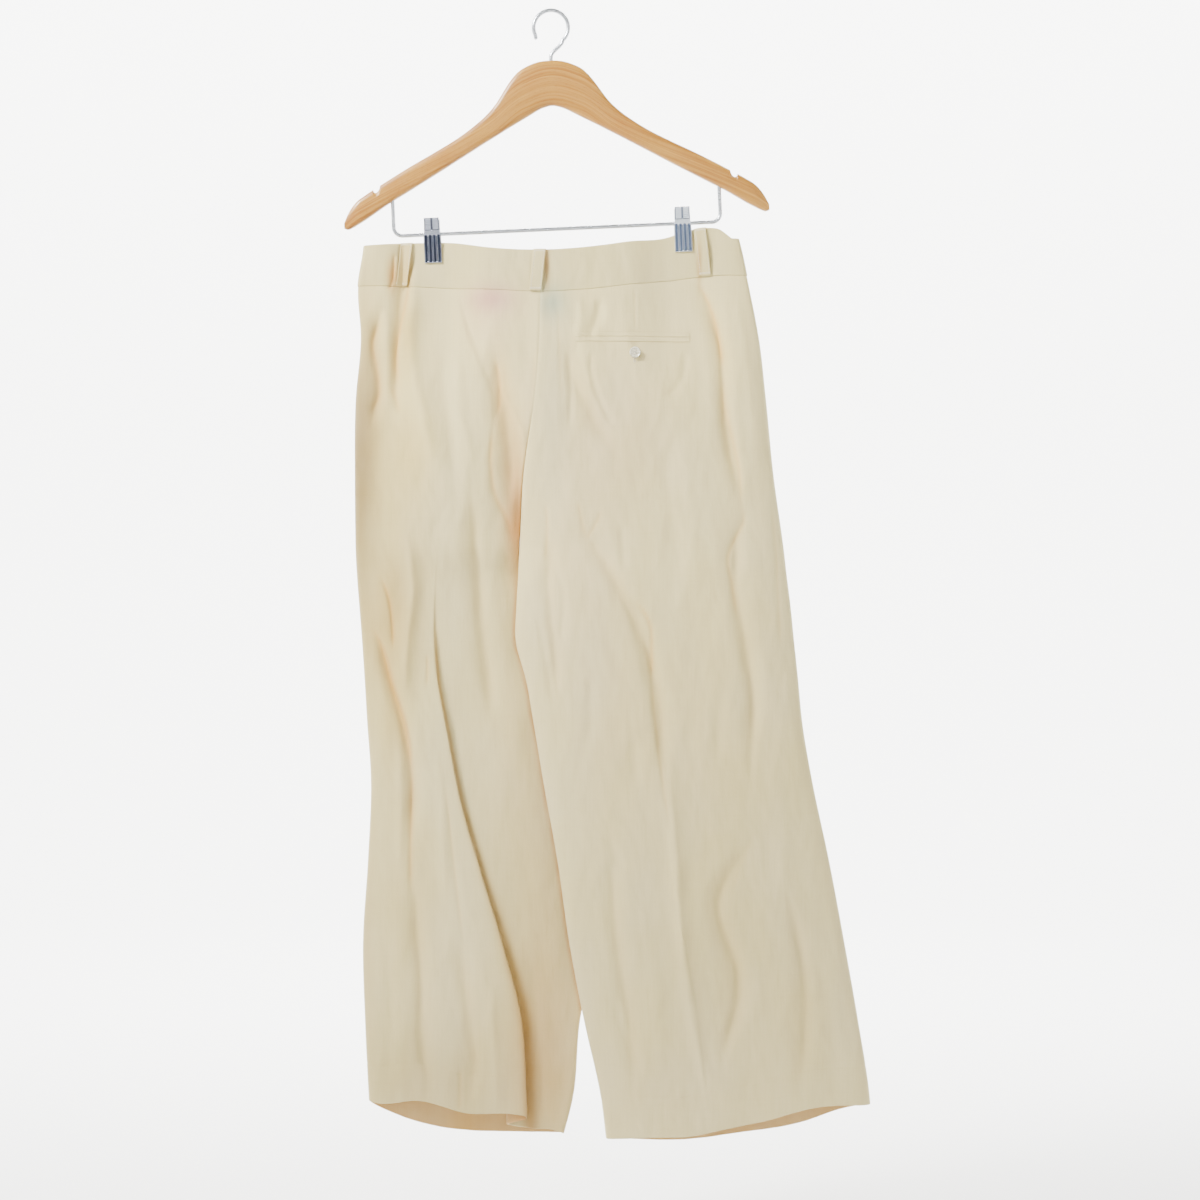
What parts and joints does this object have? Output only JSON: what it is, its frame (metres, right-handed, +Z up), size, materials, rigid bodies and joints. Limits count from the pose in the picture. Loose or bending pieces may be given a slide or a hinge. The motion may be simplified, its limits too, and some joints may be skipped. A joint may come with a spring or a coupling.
{
  "type": "wide leg trousers clipped to a wooden trouser hanger",
  "caption": "Plain high-waisted wide leg cloth trousers with a welt back pocket, held flat by the waistband in the clips of a wooden trouser hanger.",
  "frame": {"origin": "top of the inside of the hanger's hook, where a rail carries it", "axes": "+Z up; the trousers' back faces -Y, as in the picture; +X to the right of that view"},
  "size_m": [0.5506, 0.0661, 1.1864],
  "materials": {
    "linen": "undyed linen-look cloth, matt, softly creased",
    "linen_band": "the same cloth, doubled and stitched",
    "button": "pearly off-white button",
    "varnished_wood": "pale wood under clear varnish",
    "bright_wire": "plated bright steel wire",
    "chromed_steel": "polished chromed sheet steel"
  },
  "bodies": {
    "root": {"left_leg_back": "linen", "left_leg_front": "linen", "right_leg_back": "linen", "right_leg_front": "linen", "back_pocket_upper_welt": "linen", "back_pocket_lower_welt": "linen", "fly_flap": "linen", "waistband_back": "linen_band", "waistband_front_left": "linen_band", "waistband_front_right": "linen_band", "waistband_tab": "linen_band", "belt_loop_centre_back": "linen_band", "belt_loop_left_back": "linen_band", "belt_loop_right_back": "linen_band", "belt_loop_left_front": "linen_band", "belt_loop_right_front": "linen_band", "pocket_button": "button", "waist_button": "button", "wooden_hanger": "varnished_wood", "hanger_hook": "bright_wire", "trouser_bar": "bright_wire", "left_clip_near_plate": "chromed_steel", "left_clip_far_plate": "chromed_steel", "left_clip_spring": "chromed_steel", "right_clip_near_plate": "chromed_steel", "right_clip_far_plate": "chromed_steel", "right_clip_spring": "chromed_steel"}
  },
  "joints": []
}
